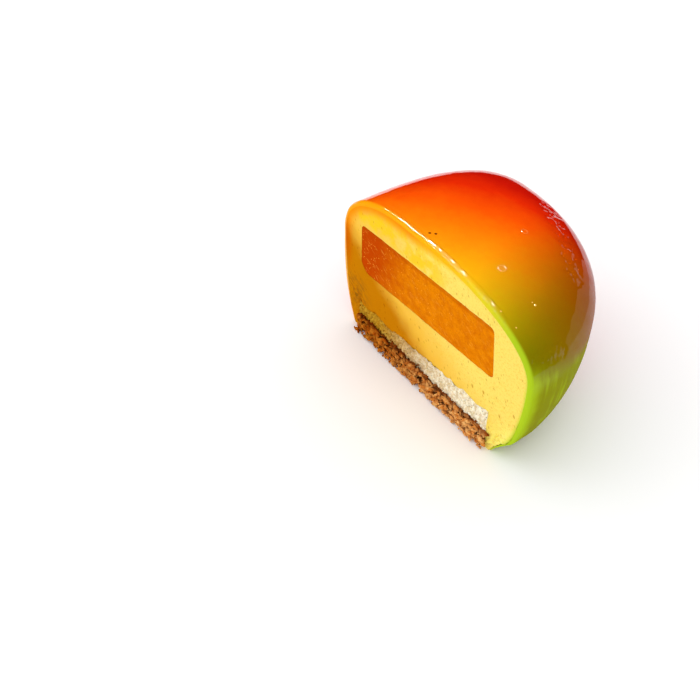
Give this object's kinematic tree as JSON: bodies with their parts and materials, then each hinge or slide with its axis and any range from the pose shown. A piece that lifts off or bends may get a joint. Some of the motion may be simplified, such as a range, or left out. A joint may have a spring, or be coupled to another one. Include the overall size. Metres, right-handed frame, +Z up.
{
  "type": "mango-shaped mousse cake half",
  "caption": "Half of a glazed, fruit-shaped mousse cake, cut across to show its fruit insert, pale sponge and crunchy base. It stands on the flat base.",
  "frame": {"origin": "on the surface the cake stands on, under the middle of its box", "axes": "+Z up; the cut face looks along -Y; X runs along the cut, and the cake's long, low end is at +X"},
  "size_m": [0.08, 0.0518, 0.0506],
  "materials": {
    "glaze": "mirror glaze, red at the crown to yellow and green",
    "mousse": "set mango mousse, satin, fine pores",
    "fruit_insert": "set fruit puree, moist and slightly clear",
    "sponge": "pale nut sponge, open crumb",
    "crunch": "caramel brown nut crunch, coarse"
  },
  "bodies": {
    "root": {"glaze": "glaze", "mousse": "mousse", "fruit_insert": "fruit_insert", "sponge": "sponge", "crunch": "crunch"}
  },
  "joints": []
}
